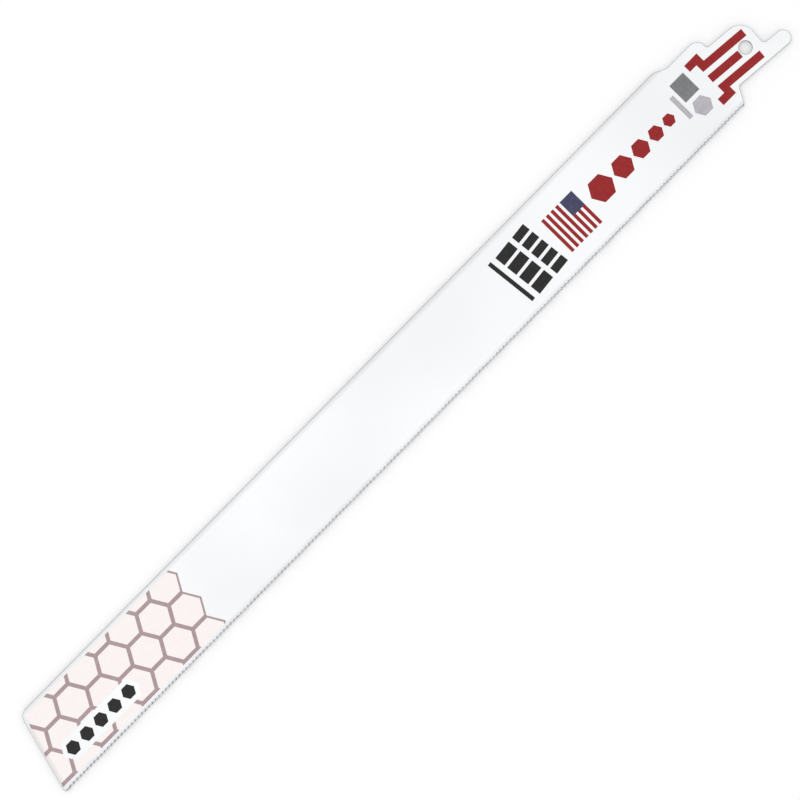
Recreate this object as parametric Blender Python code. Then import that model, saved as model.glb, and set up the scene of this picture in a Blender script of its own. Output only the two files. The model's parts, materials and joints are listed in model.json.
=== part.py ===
"""Reciprocating saw blade for cutting metal, twelve inches long.

It is one strip of hardened steel. One long edge has a row of fine teeth in a wavy set, the nose is
cut at a slant, and the other end is a tang, turned a few degrees towards the teeth, with a hole
and a narrow tail for the saw's clamp.

The blade lies flat with its printed face up. +X runs to the tang and +Y to the spine, so the teeth
are on the -Y side. The origin is under the middle of the blade's box, level with the lowest tooth.
Outlines are worked out from the toothed corner of the nose, with Y measured from mid-width.
"""

import math

import bmesh
import bpy
from mathutils import Matrix, Vector

MM = 0.001
INCH = 25.4 * MM

# The strip
OVERALL_LENGTH = 12 * INCH
BODY_WIDTH = 1 * INCH
THICKNESS = 1.07 * MM
RIM_RADIUS = 0.22 * MM

# The nose: its toothed corner reaches further than its spine corner
NOSE_SLANT = 7.0 * MM
NOSE_SPINE_RADIUS = 3.2 * MM
NOSE_TOOTHED_RADIUS = 0.8 * MM

# The teeth, which cut as the blade is pulled: their steep fronts face the tang
TOOTH_PITCH = INCH / 18
TOOTH_DEPTH = 0.62 * MM
GULLET_RADIUS = 0.25 * MM
RAKE_ANGLE = math.radians(4)
PLAIN_EDGE_AT_NOSE = 0.8 * MM
PLAIN_EDGE_AT_HEEL = 0.6 * MM

# The wavy set: the toothed strip bends from side to side, so that the cut is wider than the blade
SET_EACH_SIDE = 0.25 * MM
SET_STRIP_WIDTH = 1.6 * MM
SET_WAVE_LENGTH = 11.5 * MM
SET_FADE_LENGTH = 6.0 * MM

# The shoulders, where the strip narrows to the tang
SPINE_STEP_DEPTH = 1.9 * MM
SPINE_STEP_SLOPE = 3.5 * MM
SPINE_LAND_LENGTH = 12.6 * MM
SPINE_STEP_RADIUS = 4.0 * MM
SPINE_SHOULDER_RADIUS = 3.1 * MM
HEEL_SLANT = 2.8 * MM
HEEL_RADIUS = 0.6 * MM
TANG_ROOT_RADIUS = 0.8 * MM

# The tang, in its own frame: along it from the hole's centre, and across it towards the spine
TANG_CANT = math.radians(5.1)
HOLE_BELOW_MID_WIDTH = 1.2 * MM
HOLE_DIAMETER = 4.1 * MM
HOLE_TO_SHOULDER = 8.6 * MM
HOLE_TO_SPINE_EDGE = 7.15 * MM
HOLE_TO_TOOTHED_EDGE = 7.25 * MM
HOLE_TO_TANG_END = 4.8 * MM
TANG_CORNER_RADIUS = 4.9 * MM
HOLE_TO_TAIL_END = 12.5 * MM
TAIL_WIDTH = 4.7 * MM
TAIL_END_RADIUS = 2.3 * MM
TAIL_ROOT_RADIUS = 1.2 * MM

# Fineness of the round stretches
ARC_STEP = math.radians(9)
SHORTEST_EDGE = 0.05 * MM
GULLET_FRONT_STEPS = 3
RIM_STEPS = 2
HOLE_SIDES = 60
SHARPEST_SMOOTH_ANGLE = math.radians(50)


def rounded(corners):
    """An open outline's points, with each inner (x, y, radius) corner drawn as an arc. Where two
    arcs would run into each other on a short edge, both are made smaller."""
    places = [Vector((x, y)) for x, y, radius in corners]
    inner = range(1, len(corners) - 1)
    halves = [0.0] * len(corners)
    reaches = [0.0] * len(corners)
    for i in inner:
        halves[i] = (places[i - 1] - places[i]).angle(places[i + 1] - places[i]) / 2
        reaches[i] = corners[i][2] / math.tan(halves[i])
    shares = []
    for i in range(len(corners) - 1):
        wanted = max(reaches[i] + reaches[i + 1], SHORTEST_EDGE)
        length = (places[i + 1] - places[i]).length
        shares.append(min(1.0, (length - SHORTEST_EDGE) / wanted))

    points = [places[0]]
    for i in inner:
        reach = reaches[i] * min(shares[i - 1], shares[i])
        back = (places[i - 1] - places[i]).normalized()
        ahead = (places[i + 1] - places[i]).normalized()
        centre = places[i] + (back + ahead).normalized() * (reach / math.cos(halves[i]))
        spoke = places[i] + back * reach - centre
        turns_left = back.x * ahead.y - back.y * ahead.x < 0
        sweep = (math.pi - 2 * halves[i]) * (1 if turns_left else -1)
        steps = math.ceil(abs(sweep) / ARC_STEP)
        for step in range(steps + 1):
            points.append(centre + Matrix.Rotation(sweep * step / steps, 2) @ spoke)
    points.append(places[-1])
    return points


def gullet(tip_x):
    """One gullet's outline: the front of the tooth whose tip is at tip_x, from that tip up, the
    gullet's deepest point, and the back of the next tooth down to its tip, which is left out."""
    tip = Vector((tip_x, -BODY_WIDTH / 2))
    front_length = (TOOTH_DEPTH - GULLET_RADIUS * (1 + math.sin(RAKE_ANGLE))) / math.cos(RAKE_ANGLE)
    up_front = Vector((-math.sin(RAKE_ANGLE), math.cos(RAKE_ANGLE)))
    square_to_front = Vector((math.cos(RAKE_ANGLE), math.sin(RAKE_ANGLE)))
    centre = tip + up_front * front_length + square_to_front * GULLET_RADIUS

    def on_arc(angle):
        return centre + Vector((math.cos(angle), math.sin(angle))) * GULLET_RADIUS

    front_angle = math.pi + RAKE_ANGLE
    bottom_angle = math.pi / 2
    steps = range(GULLET_FRONT_STEPS)
    turn = (bottom_angle - front_angle) / GULLET_FRONT_STEPS
    front = [tip] + [on_arc(front_angle + turn * step) for step in steps]

    # The next tooth's back is the straight line from its tip that just touches the gullet's arc.
    to_centre = centre - Vector((tip_x + TOOTH_PITCH, tip.y))
    back_angle = math.atan2(to_centre.y, -to_centre.x)
    back_angle += math.asin(GULLET_RADIUS / to_centre.length)
    back = [on_arc(bottom_angle - back_angle)]
    return front, on_arc(bottom_angle), back


def tang_point(hole, along, across, radius=0.0):
    """A corner given in the tang's own frame, in the blade's."""
    turned = Matrix.Rotation(-TANG_CANT, 2) @ Vector((along, across))
    return hole.x + turned.x, hole.y + turned.y, radius


def tang_corners(hole):
    """The tang's corners, from the heel's shoulder out to the tail and back to the spine's."""
    tail_top = TAIL_WIDTH - HOLE_TO_TOOTHED_EDGE
    return [
        tang_point(hole, -HOLE_TO_SHOULDER, -HOLE_TO_TOOTHED_EDGE, TANG_ROOT_RADIUS),
        tang_point(hole, HOLE_TO_TAIL_END, -HOLE_TO_TOOTHED_EDGE, TAIL_END_RADIUS),
        tang_point(hole, HOLE_TO_TAIL_END, tail_top, TAIL_END_RADIUS),
        tang_point(hole, HOLE_TO_TANG_END, tail_top, TAIL_ROOT_RADIUS),
        tang_point(hole, HOLE_TO_TANG_END, HOLE_TO_SPINE_EDGE, TANG_CORNER_RADIUS),
        tang_point(hole, -HOLE_TO_SHOULDER, HOLE_TO_SPINE_EDGE, TANG_ROOT_RADIUS),
    ]


def hole_centre(nose_x):
    """The hole's centre, which puts the tail's end at the blade's overall length."""
    hole = Vector((0.0, -HOLE_BELOW_MID_WIDTH))
    reach = max(point.x for point in rounded(tang_corners(hole)))
    hole.x = nose_x + OVERALL_LENGTH - reach
    return hole


def heel_x(hole):
    """Where the heel's slanted shoulder meets the toothed edge."""
    return tang_corners(hole)[0][0] - HEEL_SLANT


def nose_corners():
    """The nose's corners, from the spine to the toothed edge."""
    half = BODY_WIDTH / 2
    return [(NOSE_SLANT, half, NOSE_SPINE_RADIUS), (0.0, -half, NOSE_TOOTHED_RADIUS)]


def nose_reach():
    """Where the rounded nose reaches furthest."""
    spine_corner, toothed_corner = nose_corners()
    on_edge = (toothed_corner[0] + NOSE_SLANT, toothed_corner[1], 0.0)
    return min(point.x for point in rounded([spine_corner, toothed_corner, on_edge]))


def plain_outline(hole, row_start, row_end):
    """The outline from the tang end of the toothed row, round the blade, to the row's nose end."""
    half = BODY_WIDTH / 2
    tang = tang_corners(hole)
    shoulder = tang[-1][0]
    step_foot = shoulder - SPINE_LAND_LENGTH
    land = half - SPINE_STEP_DEPTH
    return rounded(
        [
            (row_end, -half, 0.0),
            (heel_x(hole), -half, HEEL_RADIUS),
            *tang,
            (shoulder, land, SPINE_SHOULDER_RADIUS),
            (step_foot, land, SPINE_STEP_RADIUS),
            (step_foot - SPINE_STEP_SLOPE, half, SPINE_STEP_RADIUS),
            *nose_corners(),
            (row_start, -half, 0.0),
        ]
    )


def toothed_row(hole):
    """The row of gullets along the toothed edge: where it starts and ends, and how many they are."""
    row_end = heel_x(hole) - PLAIN_EDGE_AT_HEEL
    gullets = int((row_end - NOSE_TOOTHED_RADIUS - PLAIN_EDGE_AT_NOSE) / TOOTH_PITCH)
    return row_end - gullets * TOOTH_PITCH, row_end, gullets


def in_strip(x, y, row_start, row_end):
    """Whether a point is in the strip along the toothed edge that the teeth and their set take up."""
    return y < SET_STRIP_WIDTH - BODY_WIDTH / 2 and row_start < x < row_end


def set_height(x, y, row_start, row_end):
    """How far the wavy set lifts a point. The first and the last tooth stay straight."""
    to_row_end = min(x - row_start, row_end - x) - TOOTH_PITCH
    if to_row_end <= 0 or not in_strip(x, y, row_start, row_end):
        return 0.0
    share = (SET_STRIP_WIDTH - BODY_WIDTH / 2 - y) / SET_STRIP_WIDTH
    share *= min(1.0, to_row_end / SET_FADE_LENGTH)
    return SET_EACH_SIDE * share * math.sin(math.tau * (x - row_start) / SET_WAVE_LENGTH)


def material(name, colour, metallic, roughness):
    made = bpy.data.materials.new(name)
    made.use_nodes = True
    shader = made.node_tree.nodes["Principled BSDF"]
    shader.inputs["Base Color"].default_value = (*colour, 1.0)
    shader.inputs["Metallic"].default_value = metallic
    shader.inputs["Roughness"].default_value = roughness
    return made


def draw_flat(bm, hole):
    """Draws the blade from above as flat faces: one for the plate and one for each tooth."""
    row_start, row_end, gullets = toothed_row(hole)
    strip_top = SET_STRIP_WIDTH - BODY_WIDTH / 2

    def vertices(points):
        return [bm.verts.new((point.x, point.y, 0.0)) for point in points]

    bottoms, roots, backs = [], [], []
    for i in range(gullets):
        front, bottom, back = gullet(row_start + i * TOOTH_PITCH)
        front = vertices(front)
        bottoms += vertices([bottom])
        roots += vertices([Vector((bottom.x, strip_top))])
        backs.append(vertices(back))
        if i == 0:
            first_front = front
        else:
            tooth = [bottoms[i - 1], *backs[i - 1], *front, bottoms[i], roots[i], roots[i - 1]]
            bm.faces.new(tooth)
    outline = vertices(plain_outline(hole, row_start, row_end)[:-1])
    bm.faces.new([*first_front, bottoms[0], *roots, bottoms[-1], *backs[-1], *outline])


def is_flat(face):
    return abs(face.normal.z) > 0.9999


def bounds_flat(edge):
    """Whether an edge runs between a flat face of the blade and one that isn't."""
    return len({is_flat(face) for face in edge.link_faces}) == 2


def is_plain_rim(edge, row_start, row_end):
    """Whether an edge of the plate's faces lies away from the teeth."""
    middle = (edge.verts[0].co + edge.verts[1].co) / 2
    return bounds_flat(edge) and not in_strip(middle.x, middle.y, row_start, row_end)


def blade_mesh(hole, middle_x):
    """The toothed strip at its thickness and set, with its faces painted and its edges bare."""
    bm = bmesh.new()
    draw_flat(bm, hole)
    extruded = bmesh.ops.extrude_face_region(bm, geom=bm.faces[:])
    upper = [part for part in extruded["geom"] if isinstance(part, bmesh.types.BMVert)]
    bmesh.ops.translate(bm, vec=(0.0, 0.0, THICKNESS), verts=upper)
    bmesh.ops.recalc_face_normals(bm, faces=bm.faces[:])
    row_start, row_end, gullets = toothed_row(hole)
    bmesh.ops.bevel(
        bm,
        geom=[edge for edge in bm.edges if is_plain_rim(edge, row_start, row_end)],
        offset=RIM_RADIUS,
        segments=RIM_STEPS,
        profile=0.5,
        affect="EDGES",
        clamp_overlap=False,
        material=-1,
    )
    bmesh.ops.triangulate(bm, faces=[face for face in bm.faces if len(face.verts) > 4])
    for face in bm.faces:
        face.material_index = 0 if is_flat(face) else 1
        face.smooth = True
    for vert in bm.verts:
        vert.co.z += set_height(vert.co.x, vert.co.y, row_start, row_end)
    bm.normal_update()
    for edge in bm.edges:
        edge.smooth = edge.calc_face_angle() < SHARPEST_SMOOTH_ANGLE and not bounds_flat(edge)
    lowest = min(vert.co.z for vert in bm.verts)
    bmesh.ops.translate(bm, vec=(-middle_x, 0.0, -lowest), verts=bm.verts[:])
    mesh = bpy.data.meshes.new("blade")
    bm.to_mesh(mesh)
    bm.free()
    return mesh


def hole_cutter(hole, middle_x, steel):
    """The punch for the tang's hole."""
    bm = bmesh.new()
    bmesh.ops.create_cone(
        bm,
        cap_ends=True,
        segments=HOLE_SIDES,
        radius1=HOLE_DIAMETER / 2,
        radius2=HOLE_DIAMETER / 2,
        depth=4 * THICKNESS,
    )
    mesh = bpy.data.meshes.new("hole_cutter")
    bm.to_mesh(mesh)
    bm.free()
    mesh.materials.append(steel)
    cutter = bpy.data.objects.new("hole_cutter", mesh)
    cutter.location = (hole.x - middle_x, hole.y, SET_EACH_SIDE + THICKNESS / 2)
    cutter.hide_render = True
    cutter.display_type = "WIRE"
    return cutter


for leftover in list(bpy.data.objects):
    bpy.data.objects.remove(leftover)

enamel = material("white_enamel", (0.88, 0.89, 0.91), 0.0, 0.35)
steel = material("bare_steel", (0.45, 0.45, 0.46), 1.0, 0.4)

nose_x = nose_reach()
hole_at = hole_centre(nose_x)
middle = nose_x + OVERALL_LENGTH / 2

blade = bpy.data.objects.new("blade", blade_mesh(hole_at, middle))
blade.data.materials.append(enamel)
blade.data.materials.append(steel)
cutter = hole_cutter(hole_at, middle, steel)
for made in (blade, cutter):
    bpy.context.scene.collection.objects.link(made)

bore = blade.modifiers.new("tang hole", "BOOLEAN")
bore.operation = "DIFFERENCE"
bore.object = cutter
bore.solver = "EXACT"
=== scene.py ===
"""Looks of a reciprocating saw blade for metal: white enamel, screen print and bare tooth tips.

The blade lies on a white floor with its printed face up and is seen from straight above. Its nose
points to -X and its spine to +Y. Places of the print are given along the blade from the nose's
end, and across it from mid-width, where the spine is positive.
"""

import json
import math

import bmesh
import bpy
from mathutils import Matrix, Vector


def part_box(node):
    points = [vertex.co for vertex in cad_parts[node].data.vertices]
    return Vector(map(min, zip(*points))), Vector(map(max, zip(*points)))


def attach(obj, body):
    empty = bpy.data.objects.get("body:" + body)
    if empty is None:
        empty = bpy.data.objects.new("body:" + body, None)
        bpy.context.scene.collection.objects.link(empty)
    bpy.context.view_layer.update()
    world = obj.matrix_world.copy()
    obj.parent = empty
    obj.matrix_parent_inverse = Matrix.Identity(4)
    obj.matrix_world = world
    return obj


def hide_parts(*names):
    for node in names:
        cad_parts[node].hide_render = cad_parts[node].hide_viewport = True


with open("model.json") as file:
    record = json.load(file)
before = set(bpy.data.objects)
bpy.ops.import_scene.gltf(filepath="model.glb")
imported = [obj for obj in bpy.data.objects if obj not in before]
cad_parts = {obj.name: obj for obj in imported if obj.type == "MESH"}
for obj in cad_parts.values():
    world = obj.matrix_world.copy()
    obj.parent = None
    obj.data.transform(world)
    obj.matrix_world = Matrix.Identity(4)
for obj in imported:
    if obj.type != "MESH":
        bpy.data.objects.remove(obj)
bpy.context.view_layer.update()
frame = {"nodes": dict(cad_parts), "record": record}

# The blade: one strip of hardened steel, blanked to its outline, with milled teeth that are set in
# waves. Both faces are sprayed and baked white. The enamel laps over the start of the rounded rim and
# stops short of the tooth tips. The rim's flank, the gullets and the tips are bare.
MM = 0.001
EDGE_LEFT_BARE = 0.08 * MM
TIPS_LEFT_BARE = 0.3 * MM
ENAMEL_THICKNESS = 0.02 * MM
STEEPEST_PAINTED = math.radians(30)
SET_BEND_ABOVE_TIPS = 1.6 * MM
SET_BEND_SOFTNESS = 0.9 * MM
ENAMEL, STEEL = 0, 1
SHARPEST_SMOOTH = {ENAMEL: math.radians(20), STEEL: math.radians(50)}
FLAT_ENOUGH_TO_MERGE = math.radians(0.2)
SAME_POINT = 0.002 * MM
NOSE_SLANT = 7.0 * MM
NOSE_POINT_ROUNDED_OFF = 0.25 * MM
# How far in from the long edges and the nose the painted rim shade reaches.
RIM_SHADE_WIDTH = 1.7 * MM
ENAMEL_LIGHT = "#FAFBFC"
ENAMEL_SHADE = "#F3F4F6"
# The grey that the painted rim shade multiplies into the enamel and the inks.
RIM_SHADE_GREY = "#E0E1E3"
STEEL_LIGHT = "#B4B5B8"
STEEL_SHADE = "#8E8F93"
ENAMEL_IOR = 1.5
ENAMEL_ROUGHNESS = {"To Min": 0.27, "To Max": 0.35}
STEEL_ROUGHNESS = {"To Min": 0.48, "To Max": 0.34}
NOISE_SPREAD = {"From Min": 0.3, "From Max": 0.7}
ENAMEL_CLOUD = 48 * MM
ENAMEL_STREAK = 7 * MM
ORANGE_PEEL = 1.2 * MM
ORANGE_PEEL_DEPTH = 0.02 * MM
ROLLED_LINE_LENGTH = 6 * MM
ROLLED_LINE_WIDTH = 0.2 * MM
ROLLED_LINE_DEPTH = 0.01 * MM

printed_face = frame["record"]["mounts"][0]["pos_m"][2]
strip_low, strip_high = (Vector(corner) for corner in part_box("blade"))
nose_point = Vector((strip_low.x - NOSE_POINT_ROUNDED_OFF, strip_low.y, 0.0))
nose_outwards = Vector((strip_low.y - strip_high.y, NOSE_SLANT, 0.0)).normalized()


def linear(code):
    """The colour of an sRGB hex code, as Blender's sockets take it."""
    shares = [int(code[at : at + 2], 16) / 255 for at in (1, 3, 5)]
    return [c / 12.92 if c <= 0.04045 else ((c + 0.055) / 1.055) ** 2.4 for c in shares] + [1.0]


def add_node(tree, kind, values={}, links={}, stops=(), **options):
    """Adds a node with its options, the values and links of its sockets, and a ramp's stops."""
    node = tree.nodes.new(kind)
    for option, value in options.items():
        setattr(node, option, value)
    for socket, value in values.items():
        node.inputs[socket].default_value = value
    for socket, source in links.items():
        tree.links.new(source, node.inputs[socket])
    for step, (position, code) in enumerate(stops):
        node.color_ramp.elements[step].position = position
        node.color_ramp.elements[step].color = linear(code)
    return node


def new_material(name, finish):
    """A material with one plain shader: its tree, that shader and the coordinates of the piece."""
    material = bpy.data.materials.new(name)
    material.use_nodes = True
    shader = material.node_tree.nodes["Principled BSDF"]
    for socket, value in finish.items():
        shader.inputs[socket].default_value = value
    place = add_node(material.node_tree, "ShaderNodeTexCoord").outputs["Object"]
    return material, material.node_tree, shader, place


def with_painted_rim_shade(tree, tone, place):
    """A tone of enamel, or of ink over it, darkened towards the long edges and the nose by painted
    shade: a grey multiplied in that stands in for the shade at the rim."""
    across = add_node(tree, "ShaderNodeSeparateXYZ", links={"Vector": place}).outputs["Y"]
    from_middle = add_node(
        tree, "ShaderNodeMath", links={0: across}, operation="ABSOLUTE"
    ).outputs[0]
    towards_nose = add_node(
        tree, "ShaderNodeVectorMath", {1: nose_outwards}, {0: place}, operation="DOT_PRODUCT"
    ).outputs["Value"]
    nose_reach = nose_point.dot(nose_outwards)
    shade_at_sides = add_node(
        tree,
        "ShaderNodeMapRange",
        {"From Min": strip_high.y - RIM_SHADE_WIDTH, "From Max": strip_high.y},
        {"Value": from_middle},
    ).outputs["Result"]
    shade_at_nose = add_node(
        tree,
        "ShaderNodeMapRange",
        {"From Min": nose_reach - RIM_SHADE_WIDTH, "From Max": nose_reach},
        {"Value": towards_nose},
    ).outputs["Result"]
    rim_shade = add_node(
        tree, "ShaderNodeMath", links={0: shade_at_sides, 1: shade_at_nose}, operation="MAXIMUM"
    ).outputs[0]
    return add_node(
        tree,
        "ShaderNodeMixRGB",
        {"Color2": linear(RIM_SHADE_GREY)},
        {"Fac": rim_shade, "Color1": tone},
        blend_type="MULTIPLY",
    ).outputs["Color"]


def baked_enamel():
    """Polyester enamel, sprayed and baked: a satin white with a cool cast. Its film varies a little
    in tone over a few centimetres, and painted shade greys it near the rim. A faint orange peel of
    about a millimetre breaks the gloss."""
    enamel, tree, shader, place = new_material("baked_enamel", {"IOR": ENAMEL_IOR})
    clouds = add_node(
        tree, "ShaderNodeTexNoise", {"Scale": 1 / ENAMEL_CLOUD, "Detail": 1.0}, {"Vector": place}
    ).outputs["Fac"]
    streaks = add_node(
        tree, "ShaderNodeTexNoise", {"Scale": 1 / ENAMEL_STREAK, "Detail": 2.0}, {"Vector": place}
    ).outputs["Fac"]
    peel = add_node(
        tree, "ShaderNodeTexNoise", {"Scale": 1 / ORANGE_PEEL, "Detail": 1.0}, {"Vector": place}
    ).outputs["Fac"]
    tone = add_node(
        tree,
        "ShaderNodeValToRGB",
        links={"Fac": clouds},
        stops=((0.36, ENAMEL_SHADE), (0.62, ENAMEL_LIGHT)),
    ).outputs["Color"]
    gloss = add_node(
        tree, "ShaderNodeMapRange", NOISE_SPREAD | ENAMEL_ROUGHNESS, {"Value": streaks}
    ).outputs["Result"]
    relief = add_node(
        tree, "ShaderNodeBump", {"Strength": 0.15, "Distance": ORANGE_PEEL_DEPTH}, {"Height": peel}
    ).outputs["Normal"]
    # The enamel's tone, darkened near the rim by painted shade.
    tree.links.new(with_painted_rim_shade(tree, tone, place), shader.inputs["Base Color"])
    tree.links.new(gloss, shader.inputs["Roughness"])
    tree.links.new(relief, shader.inputs["Normal"])
    return enamel


def ground_steel():
    """Spring steel, sheared and milled, then hardened: dull grey, with fine lines along the blade
    from the rolling and the cutters. The real lines are finer than 0.1 mm and are drawn wider so
    that they show."""
    steel, tree, shader, place = new_material("ground_steel", {"Metallic": 1.0})
    along_lines = add_node(
        tree,
        "ShaderNodeMapping",
        {"Scale": (1 / ROLLED_LINE_LENGTH, 1 / ROLLED_LINE_WIDTH, 1 / ROLLED_LINE_WIDTH)},
        {"Vector": place},
    ).outputs["Vector"]
    lines = add_node(
        tree, "ShaderNodeTexNoise", {"Scale": 1.0, "Detail": 3.0}, {"Vector": along_lines}
    ).outputs["Fac"]
    tone = add_node(
        tree,
        "ShaderNodeValToRGB",
        links={"Fac": lines},
        stops=((0.3, STEEL_SHADE), (0.7, STEEL_LIGHT)),
    ).outputs["Color"]
    gloss = add_node(
        tree, "ShaderNodeMapRange", NOISE_SPREAD | STEEL_ROUGHNESS, {"Value": lines}
    ).outputs["Result"]
    relief = add_node(
        tree, "ShaderNodeBump", {"Strength": 0.3, "Distance": ROLLED_LINE_DEPTH}, {"Height": lines}
    ).outputs["Normal"]
    tree.links.new(tone, shader.inputs["Base Color"])
    tree.links.new(gloss, shader.inputs["Roughness"])
    tree.links.new(relief, shader.inputs["Normal"])
    return steel


def cut_along(bm, point, outwards, clear=False):
    """Cuts a mesh's faces along a plane, and can drop what lies beyond it."""
    bmesh.ops.bisect_plane(
        bm,
        geom=[*bm.verts, *bm.edges, *bm.faces],
        plane_co=point,
        plane_no=outwards,
        clear_outer=clear,
    )


def is_painted(face, side):
    """Whether a face belongs to the enamel of the upper side, 1, or of the lower side, -1."""
    clear_of_tips = face.calc_center_median().y > strip_low.y + TIPS_LEFT_BARE
    return clear_of_tips and face.normal.z * side > math.cos(STEEPEST_PAINTED)


# The frame's mesh is loose triangles. They are merged, and flat ones joined, before any cut.
strip = bmesh.new()
strip.from_mesh(frame["nodes"]["blade"].data)
bmesh.ops.remove_doubles(strip, verts=strip.verts[:], dist=SAME_POINT)
bmesh.ops.dissolve_limit(
    strip, angle_limit=FLAT_ENOUGH_TO_MERGE, verts=strip.verts[:], edges=strip.edges[:]
)
# One cut where the enamel ends above the tips, and one that parts the flat face from the set's bend.
for above_tips in (TIPS_LEFT_BARE, SET_BEND_ABOVE_TIPS + SET_BEND_SOFTNESS):
    cut_along(strip, (0.0, strip_low.y + above_tips, 0.0), (0.0, 1.0, 0.0))
for face in strip.faces:
    face.material_index = STEEL
for side in (1, -1):
    enamelled = [face for face in strip.faces if is_painted(face, side)]
    for face in enamelled:
        face.material_index = ENAMEL
    rim = bmesh.ops.inset_region(
        strip,
        faces=enamelled,
        thickness=EDGE_LEFT_BARE,
        depth=ENAMEL_THICKNESS,
        use_boundary=True,
        use_even_offset=True,
    )
    for face in rim["faces"]:
        face.material_index = STEEL
bmesh.ops.triangulate(strip, faces=[face for face in strip.faces if len(face.verts) > 4])
strip.normal_update()
for face in strip.faces:
    face.smooth = True
for edge in strip.edges:
    finishes = {face.material_index for face in edge.link_faces}
    turn = edge.calc_face_angle(0.0)
    edge.smooth = len(finishes) == 1 and turn < SHARPEST_SMOOTH[finishes.pop()]
blade_mesh = bpy.data.meshes.new("painted_blade")
strip.to_mesh(blade_mesh)
strip.free()
blade_mesh.materials.append(baked_enamel())
blade_mesh.materials.append(ground_steel())
blade = bpy.data.objects.new("painted_blade", blade_mesh)
bpy.context.scene.collection.objects.link(blade)
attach(blade, "root")
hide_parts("blade")

# The honeycomb: a screen print over the nose's quarter, of dull red lines round cells with a faint
# blush. It runs nearly to the nose's end, to a margin at the spine and to the set strip of the
# teeth, ends with whole cells towards the middle, and leaves a long clear hexagon for the marks.
INK_THICKNESS = 0.015 * MM
INK_SUNK = 0.005 * MM
INK_IOR = 1.3
INK_ROUGHNESS = {"To Min": 0.42, "To Max": 0.52}
INK_MOTTLE = 0.9 * MM
NEVER_LEVEL = Vector((1.0, math.pi, math.e))
CELL_ACROSS_FLATS = 9.8 * MM
CELL_LINE = 1.2 * MM
CELL_COLUMNS = 8
CELL_ROWS = range(-2, 2)
LINE_PART, CELL_PART = 0, 1
FIRST_COLUMN_ALONG = 3.15 * MM
FIRST_COLUMN_ACROSS = 4.15 * MM
PRINT_TO_SPINE = 1.3 * MM
PRINT_TO_NOSE = 0.45 * MM
NOSE_SPINE_RADIUS = 3.2 * MM
NOSE_ARC_STEPS = 8
MARK_COUNT = 5
MARK_PITCH = 5.7 * MM
MARK_ACROSS_FLATS = 3.9 * MM
MARKS_ALONG = 10.9 * MM
MARKS_ACROSS = -5.1 * MM
CLEAR_ROUND_MARKS = 1.4 * MM
LINE_RED = "#A99395"
LINE_RED_THIN = "#B4A0A2"
CELL_BLUSH = "#FBF3F1"
CELL_BLUSH_THIN = "#FDF7F6"


def screen_ink(name, full, thin):
    """Screen ink on enamel: even and nearly matt, a little thinner and lighter in places where the
    screen gave less. The real mottle is finer than 0.3 mm and is drawn coarser so that it shows."""
    ink, tree, shader, place = new_material(name, {"IOR": INK_IOR})
    mottle = add_node(
        tree, "ShaderNodeTexNoise", {"Scale": 1 / INK_MOTTLE, "Detail": 3.0}, {"Vector": place}
    ).outputs["Fac"]
    tone = add_node(
        tree, "ShaderNodeValToRGB", links={"Fac": mottle}, stops=((0.35, full), (0.75, thin))
    ).outputs["Color"]
    gloss = add_node(
        tree, "ShaderNodeMapRange", NOISE_SPREAD | INK_ROUGHNESS, {"Value": mottle}
    ).outputs["Result"]
    # Near the rim the ink gets the same painted shade as the enamel.
    tree.links.new(with_painted_rim_shade(tree, tone, place), shader.inputs["Base Color"])
    tree.links.new(gloss, shader.inputs["Roughness"])
    return ink


def lay_ink(name, bm, ink):
    """Makes a film of ink from flat shapes, seated in the enamel of the printed face."""
    sunk_in_enamel = printed_face + ENAMEL_THICKNESS - INK_SUNK
    bmesh.ops.translate(bm, vec=(0.0, 0.0, sunk_in_enamel), verts=bm.verts[:])
    extruded = bmesh.ops.extrude_face_region(bm, geom=bm.faces[:])
    upper = [part for part in extruded["geom"] if isinstance(part, bmesh.types.BMVert)]
    bmesh.ops.translate(bm, vec=(0.0, 0.0, INK_SUNK + INK_THICKNESS), verts=upper)
    bmesh.ops.recalc_face_normals(bm, faces=bm.faces[:])
    # The extrusion leaves another order in each run, so corners and faces are sorted by their place,
    # along a direction in which no two of them lie level.
    bm.verts.sort(key=lambda corner: corner.co.dot(NEVER_LEVEL))
    bm.faces.sort(key=lambda face: face.calc_center_median().dot(NEVER_LEVEL))
    mesh = bpy.data.meshes.new(name)
    bm.to_mesh(mesh)
    bm.free()
    mesh.materials.append(ink)
    film = bpy.data.objects.new(name, mesh)
    bpy.context.scene.collection.objects.link(film)
    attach(film, "root")


def spot(along, across, turn=0.0):
    """The place of a printed shape on the blade, turned about its own middle."""
    place = Matrix.Translation((strip_low.x + along, across, 0.0))
    return place @ Matrix.Rotation(turn, 4, "Z")


def hexagon(bm, along, across, across_flats):
    """A hexagon whose flats face the spine and the teeth."""
    bmesh.ops.create_circle(
        bm,
        cap_ends=True,
        segments=6,
        radius=across_flats / math.sqrt(3),
        matrix=spot(along, across, math.radians(30)),
    )


def outwards_at(turn):
    """The direction at an angle from the blade's length."""
    return Vector((math.cos(turn), math.sin(turn), 0.0))


honeycomb = bmesh.new()
for column in range(CELL_COLUMNS):
    for row in CELL_ROWS:
        hexagon(
            honeycomb,
            FIRST_COLUMN_ALONG + column * CELL_ACROSS_FLATS * math.sqrt(3) / 2,
            FIRST_COLUMN_ACROSS + (row + column % 2 / 2) * CELL_ACROSS_FLATS,
            CELL_ACROSS_FLATS,
        )
bmesh.ops.remove_doubles(honeycomb, verts=honeycomb.verts[:], dist=SAME_POINT)
lines = bmesh.ops.inset_individual(
    honeycomb, faces=honeycomb.faces[:], thickness=CELL_LINE / 2, use_even_offset=True
)
for face in honeycomb.faces:
    face.material_index = CELL_PART
for face in lines["faces"]:
    face.material_index = LINE_PART

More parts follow.
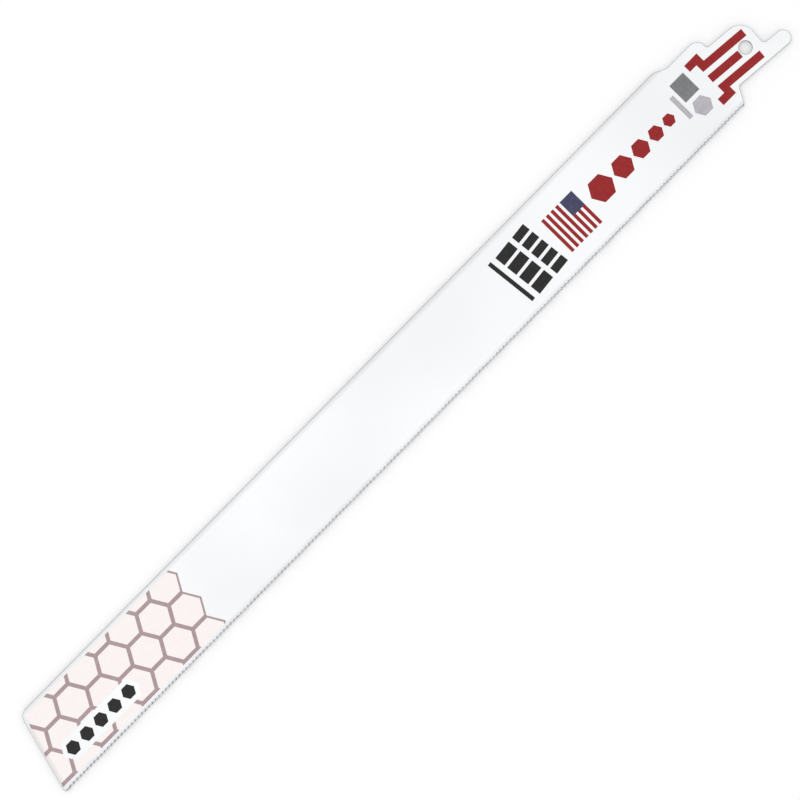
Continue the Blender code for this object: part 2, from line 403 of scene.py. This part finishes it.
# The print ends in steps round the nose's spine corner, along the nose and at the set strip.
corner_middle_y = strip_high.y - NOSE_SPINE_RADIUS
corner_along = (corner_middle_y - strip_low.y) / (strip_high.y - strip_low.y) * NOSE_SLANT
corner_middle_x = nose_point.x + corner_along - NOSE_SPINE_RADIUS / nose_outwards.x
nose_corner = Vector((corner_middle_x, corner_middle_y, 0.0))
quarter_turn = math.radians(90)
nose_turn = math.atan2(nose_outwards.y, nose_outwards.x) - quarter_turn
for step in range(NOSE_ARC_STEPS + 1):
    outwards = outwards_at(quarter_turn + nose_turn * step / NOSE_ARC_STEPS)
    margin = PRINT_TO_SPINE if step < NOSE_ARC_STEPS else PRINT_TO_NOSE
    rim_point = nose_corner + outwards * (NOSE_SPINE_RADIUS - margin)
    cut_along(honeycomb, rim_point, outwards, clear=True)
set_strip_top = (0.0, strip_low.y + SET_BEND_ABOVE_TIPS, 0.0)
cut_along(honeycomb, set_strip_top, (0.0, -1.0, 0.0), clear=True)

# The long clear hexagon round the row of marks.
clear_sides = []
for side in range(6):
    outwards = outwards_at(math.radians(30 + 60 * side))
    nearest_mark = 0 if outwards.x < 0 else MARK_COUNT - 1
    mark_middle = spot(MARKS_ALONG + nearest_mark * MARK_PITCH, MARKS_ACROSS).translation
    clear_side = mark_middle + outwards * (MARK_ACROSS_FLATS / 2 + CLEAR_ROUND_MARKS)
    cut_along(honeycomb, clear_side, outwards)
    clear_sides.append((clear_side, outwards))
in_the_clear = []
for face in honeycomb.faces:
    middle = face.calc_center_median()
    if all((middle - point).dot(outwards) < 0 for point, outwards in clear_sides):
        in_the_clear.append(face)
bmesh.ops.delete(honeycomb, geom=in_the_clear, context="FACES")

# The lines and the cells are films of two inks.
cells = honeycomb.copy()
for print_faces, other in ((honeycomb, CELL_PART), (cells, LINE_PART)):
    unwanted = [face for face in print_faces.faces if face.material_index == other]
    bmesh.ops.delete(print_faces, geom=unwanted, context="FACES")
    for face in print_faces.faces:
        face.material_index = 0
line_ink = screen_ink("dull_red_screen_ink", LINE_RED, LINE_RED_THIN)
blush_ink = screen_ink("blush_screen_ink", CELL_BLUSH, CELL_BLUSH_THIN)
lay_ink("honeycomb_lines", honeycomb, line_ink)
lay_ink("honeycomb_cells", cells, blush_ink)

# The row of marks in the honeycomb's clear field: five plain solid hexagons in near-black screen
# ink, of the scale of the print that such blades have there.
BLACK = "#161716"
BLACK_THIN = "#262726"

marks = bmesh.new()
for step in range(MARK_COUNT):
    hexagon(marks, MARKS_ALONG + step * MARK_PITCH, MARKS_ACROSS, MARK_ACROSS_FLATS)
black_ink = screen_ink("black_screen_ink", BLACK, BLACK_THIN)
lay_ink("nose_marks", marks, black_ink)

# The block of bars: three rows in the same black ink across the blade, a thin one, a broad one and
# a medium one. They lean a few degrees, with their spine ends nearer to the nose. A row is given by
# the place of its middle along and across the blade, and then its size in the same order.
BAR_LEAN = math.radians(6)
THIN_ROW = (196.6 * MM, -0.6 * MM, 1.3 * MM, 16.6 * MM)
THIN_BARS = 1
BROAD_ROW = (202.1 * MM, -0.4 * MM, 6.2 * MM, 16.6 * MM)
BROAD_BARS = 4
MEDIUM_ROW = (209.2 * MM, 0.2 * MM, 5.1 * MM, 16.8 * MM)
MEDIUM_BARS = 5
BAR_GAP = 0.95 * MM


def bar(bm, matrix, length, width):
    """A rectangle of the given size along and across the blade."""
    bmesh.ops.create_grid(
        bm,
        x_segments=1,
        y_segments=1,
        size=0.5,
        matrix=matrix @ Matrix.Diagonal((length, width, 1.0, 1.0)),
    )


def row_of_bars(bm, row, count):
    """Bars of equal size in a row that lies across the blade."""
    along, across, length, whole_width = row
    place = spot(along, across, BAR_LEAN)
    width = (whole_width - BAR_GAP * (count - 1)) / count
    for step in range(count):
        aside = (step - (count - 1) / 2) * (width + BAR_GAP)
        bar(bm, place @ Matrix.Translation((0.0, aside, 0.0)), length, width)


bars = bmesh.new()
row_of_bars(bars, THIN_ROW, THIN_BARS)
row_of_bars(bars, BROAD_ROW, BROAD_BARS)
row_of_bars(bars, MEDIUM_ROW, MEDIUM_BARS)
lay_ink("bar_block", bars, black_ink)

# The striped panel: a square of red stripes across the blade, with the white enamel between them,
# and a plain navy field in its corner towards the spine and the tang.
PANEL_ALONG = (215.1 * MM, 227.6 * MM)
PANEL_ACROSS = (-7.2 * MM, 5.6 * MM)
RED_STRIPES = 7
RED_STRIPE = 1.08 * MM
STRIPES_BESIDE_FIELD = 3
NAVY_FIELD_WIDTH = 5.6 * MM
RED = "#91191C"
RED_THIN = "#9E2729"
NAVY = "#3B3C5C"
NAVY_THIN = "#4C4C68"

panel_length = PANEL_ALONG[1] - PANEL_ALONG[0]
panel_width = PANEL_ACROSS[1] - PANEL_ACROSS[0]
stripe_pitch = (panel_length - RED_STRIPE) / (RED_STRIPES - 1)
red_stripes = bmesh.new()
for step in range(RED_STRIPES):
    beside_field = step >= RED_STRIPES - STRIPES_BESIDE_FIELD
    width = panel_width - NAVY_FIELD_WIDTH if beside_field else panel_width
    along = PANEL_ALONG[0] + RED_STRIPE / 2 + step * stripe_pitch
    bar(red_stripes, spot(along, PANEL_ACROSS[0] + width / 2), RED_STRIPE, width)
red_ink = screen_ink("red_screen_ink", RED, RED_THIN)
lay_ink("panel_stripes", red_stripes, red_ink)

navy_field = bmesh.new()
field_length = RED_STRIPE + (STRIPES_BESIDE_FIELD - 1) * stripe_pitch
field_middle = spot(PANEL_ALONG[1] - field_length / 2, PANEL_ACROSS[1] - NAVY_FIELD_WIDTH / 2)
bar(navy_field, field_middle, field_length, NAVY_FIELD_WIDTH)
lay_ink("panel_field", navy_field, screen_ink("navy_screen_ink", NAVY, NAVY_THIN))

# The hexagon row: solid red hexagons that get smaller towards the tang, in the same red ink.
LARGEST_ACROSS_FLATS = 7.4 * MM
SHRINK = 0.83
HEXAGON_COUNT = 5
HEXAGON_GAP = 0.9 * MM
HEXAGONS_START = 230.1 * MM
HEXAGONS_ACROSS = -0.2 * MM

hexagon_row = bmesh.new()
start = HEXAGONS_START
for step in range(HEXAGON_COUNT):
    across_flats = LARGEST_ACROSS_FLATS * SHRINK**step
    across_corners = across_flats * 2 / math.sqrt(3)
    hexagon(hexagon_row, start + across_corners / 2, HEXAGONS_ACROSS, across_flats)
    start += across_corners + HEXAGON_GAP
lay_ink("hexagon_row", hexagon_row, red_ink)

# The small grey prints before the tang: a plain square, and beside it in a paler grey a bar and a
# hexagon. Each is given by the place of its middle along and across the blade, and then its size.
SQUARE = (272.0 * MM, 3.25 * MM, 5.6 * MM, 6.8 * MM)
PALE_BAR = (267.3 * MM, -0.2 * MM, 1.5 * MM, 8.4 * MM)
PALE_HEXAGON = (272.1 * MM, -4.2 * MM, 5.4 * MM)
GREY = "#77787B"
GREY_THIN = "#868789"
PALE_GREY = "#B4B0B8"
PALE_GREY_THIN = "#C0BDC4"

square = bmesh.new()
bar(square, spot(*SQUARE[:2]), *SQUARE[2:])
lay_ink("grey_square", square, screen_ink("grey_screen_ink", GREY, GREY_THIN))

pale_prints = bmesh.new()
hexagon(pale_prints, *PALE_HEXAGON)
bar(pale_prints, spot(*PALE_BAR[:2]), *PALE_BAR[2:])
pale_ink = screen_ink("pale_grey_screen_ink", PALE_GREY, PALE_GREY_THIN)
lay_ink("pale_prints", pale_prints, pale_ink)

# The stripes of the tang: three red bands along it. The outer two start as short arms on the body
# and step inwards to the tang, and the middle one stops at the hole.
BAND_WIDTH = 2.45 * MM
TANG_CANT = math.radians(5.1)
ARM_START = 276.4 * MM
STEP_ALONG = 280.3 * MM
SPINE_BAND = {"arm": 6.5 * MM, "run": 3.65 * MM, "end": 295.6 * MM}
TEETH_BAND = {"arm": -7.25 * MM, "run": -4.6 * MM, "end": 294.9 * MM}
MIDDLE_BAND = {"start": 279.0 * MM, "run": -0.35 * MM, "end": 290.4 * MM}


def ribbon(bm, path, width):
    """A flat band of even width along a path, with mitred corners."""
    ends = None
    for step, place in enumerate(path):
        before = place - path[step - 1] if step else path[1] - place
        after = path[step + 1] - place if step + 1 < len(path) else before
        aside = (before.orthogonal().normalized() + after.orthogonal().normalized()).normalized()
        aside *= width / 2 / aside.dot(before.orthogonal().normalized())
        pair = [bm.verts.new((*(place + aside), 0.0)), bm.verts.new((*(place - aside), 0.0))]
        if ends:
            bm.faces.new((*ends, *reversed(pair)))
        ends = pair


def run_to(along, across, end):
    """The two ends of a canted run, which goes along the tang."""
    start = Vector((strip_low.x + along, across))
    return [start, start + Vector((end - along, (along - end) * math.tan(TANG_CANT)))]


bands = bmesh.new()
for band in (SPINE_BAND, TEETH_BAND):
    arm = [Vector((strip_low.x + along, band["arm"])) for along in (ARM_START, STEP_ALONG)]
    ribbon(bands, arm + run_to(STEP_ALONG, band["run"], band["end"]), BAND_WIDTH)
ribbon(bands, run_to(MIDDLE_BAND["start"], MIDDLE_BAND["run"], MIDDLE_BAND["end"]), BAND_WIDTH)
lay_ink("tang_bands", bands, red_ink)

# The studio: a white floor that keeps the blade's soft shadow, an even white sky, one large lamp
# high above, and the camera straight over the blade, with the blade's length rising to the right.
FLOOR_REACH = 3.0
FLOOR_WHITE = "#FBFBFB"
FLOOR_LIFT = 0.065
SKY_LEVEL = 0.8
LAMP_PLACE = (-0.3, 0.35, 1.6)
LAMP_SIZE = 1.2
LAMP_POWER = 6.0
CAMERA_LENS = 100.0
CAMERA_SENSOR = 36.0
FRAME_WIDTH = 232.4 * MM
FRAME_MIDDLE = (-3.01 * MM, -1.72 * MM)
BLADE_RISE = math.radians(45.37)

studio = bpy.context.scene
studio.view_settings.view_transform = "Standard"


def seen_directly(tree):
    """1 for what the camera sees, also in a reflection or through glass, and 0 for lighting."""
    rays = add_node(tree, "ShaderNodeLightPath").outputs
    mirrored = add_node(
        tree,
        "ShaderNodeMath",
        links={0: rays["Is Glossy Ray"], 1: rays["Is Transmission Ray"]},
        operation="MAXIMUM",
    ).outputs[0]
    return add_node(
        tree, "ShaderNodeMath", links={0: rays["Is Camera Ray"], 1: mirrored}, operation="MAXIMUM"
    ).outputs[0]


floor_mesh = bpy.data.meshes.new("floor")
floor_bm = bmesh.new()
bmesh.ops.create_grid(floor_bm, x_segments=1, y_segments=1, size=FLOOR_REACH)
floor_bm.to_mesh(floor_mesh)
floor_bm.free()
white = bpy.data.materials.new("white_floor")
white.use_nodes = True
floor_tree = white.node_tree
floor_tree.nodes.clear()
matt = add_node(floor_tree, "ShaderNodeBsdfDiffuse", {"Color": linear(FLOOR_WHITE)})
lift = add_node(
    floor_tree,
    "ShaderNodeMath",
    {1: FLOOR_LIFT},
    {0: seen_directly(floor_tree)},
    operation="MULTIPLY",
)
glow = add_node(floor_tree, "ShaderNodeEmission", links={"Strength": lift.outputs[0]})
both = add_node(
    floor_tree, "ShaderNodeAddShader", links={0: matt.outputs["BSDF"], 1: glow.outputs["Emission"]}
)
add_node(floor_tree, "ShaderNodeOutputMaterial", links={"Surface": both.outputs["Shader"]})
floor_mesh.materials.append(white)
floor = bpy.data.objects.new("floor", floor_mesh)
studio.collection.objects.link(floor)

sky = bpy.data.worlds.new("sky")
sky.use_nodes = True
sky_tree = sky.node_tree
level = add_node(
    sky_tree,
    "ShaderNodeMapRange",
    {"To Min": SKY_LEVEL, "To Max": 1.0},
    {"Value": seen_directly(sky_tree)},
)
sky_light = sky_tree.nodes["Background"]
sky_light.inputs["Color"].default_value = linear("#FFFFFF")
sky_tree.links.new(level.outputs["Result"], sky_light.inputs["Strength"])
studio.world = sky

lamp_data = bpy.data.lights.new("large_lamp", "AREA")
lamp_data.size = LAMP_SIZE
lamp_data.energy = LAMP_POWER
lamp = bpy.data.objects.new("large_lamp", lamp_data)
lamp.location = LAMP_PLACE
lamp.rotation_euler = Vector(LAMP_PLACE).to_track_quat("Z", "Y").to_euler()
studio.collection.objects.link(lamp)

camera_data = bpy.data.cameras.new("camera")
camera_data.lens = CAMERA_LENS
camera_data.sensor_width = CAMERA_SENSOR
camera = bpy.data.objects.new("camera", camera_data)
camera.location = (*FRAME_MIDDLE, printed_face + FRAME_WIDTH * CAMERA_LENS / CAMERA_SENSOR)
camera.rotation_euler = (0.0, 0.0, -BLADE_RISE)
studio.collection.objects.link(camera)
studio.camera = camera
